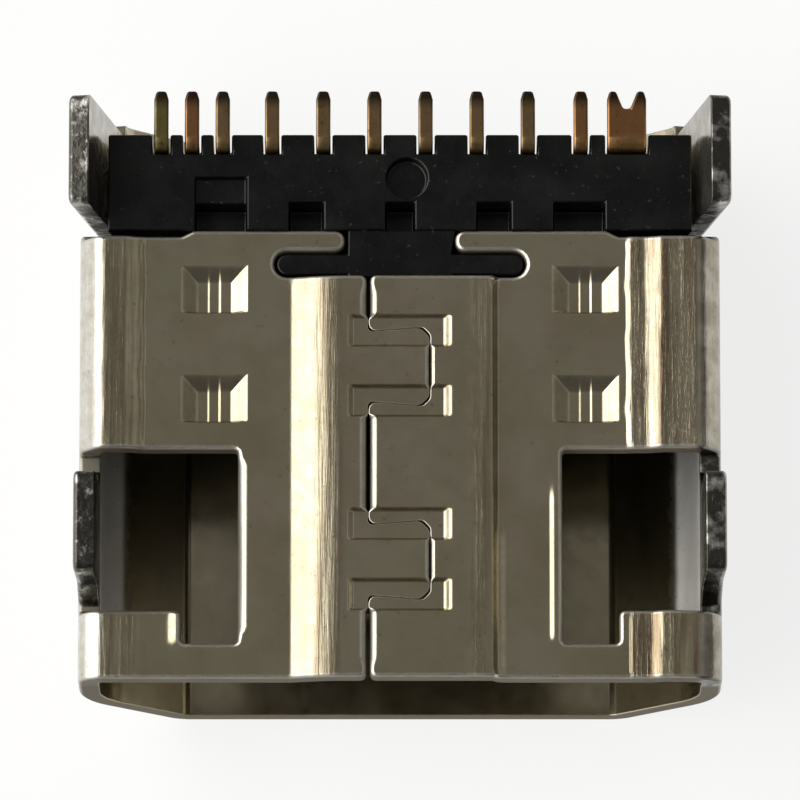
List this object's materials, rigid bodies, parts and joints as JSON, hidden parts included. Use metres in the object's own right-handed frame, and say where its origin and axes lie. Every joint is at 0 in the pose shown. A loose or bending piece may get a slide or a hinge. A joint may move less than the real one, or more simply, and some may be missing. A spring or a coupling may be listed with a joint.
{
  "type": "charging port",
  "caption": "Flat board-mounted charging port: folded steel shell with a dovetailed seam, windows and four legs, moulded black housing and stamped gold contacts.",
  "frame": {"origin": "middle of the whole box, on the outside of the narrow plate that it lies on", "axes": "+Z out of the wide board face, +Y towards the contact tails, -Y out of the mouth, X across"},
  "size_m": [0.0078, 0.007, 0.0033],
  "materials": {
    "shell_steel": "nickel-plated sheet steel, satin, with faint stains",
    "housing_resin": "black glass-filled resin, satin",
    "contact_gold": "gold flash over copper alloy, darker at the sheared tips"
  },
  "bodies": {
    "root": {"shell": "shell_steel", "housing": "housing_resin", "contact_01": "contact_gold", "contact_02": "contact_gold", "contact_03": "contact_gold", "contact_04": "contact_gold", "contact_05": "contact_gold", "contact_06": "contact_gold", "contact_07": "contact_gold", "contact_08": "contact_gold", "contact_09": "contact_gold", "contact_10": "contact_gold", "contact_11": "contact_gold"}
  },
  "joints": []
}
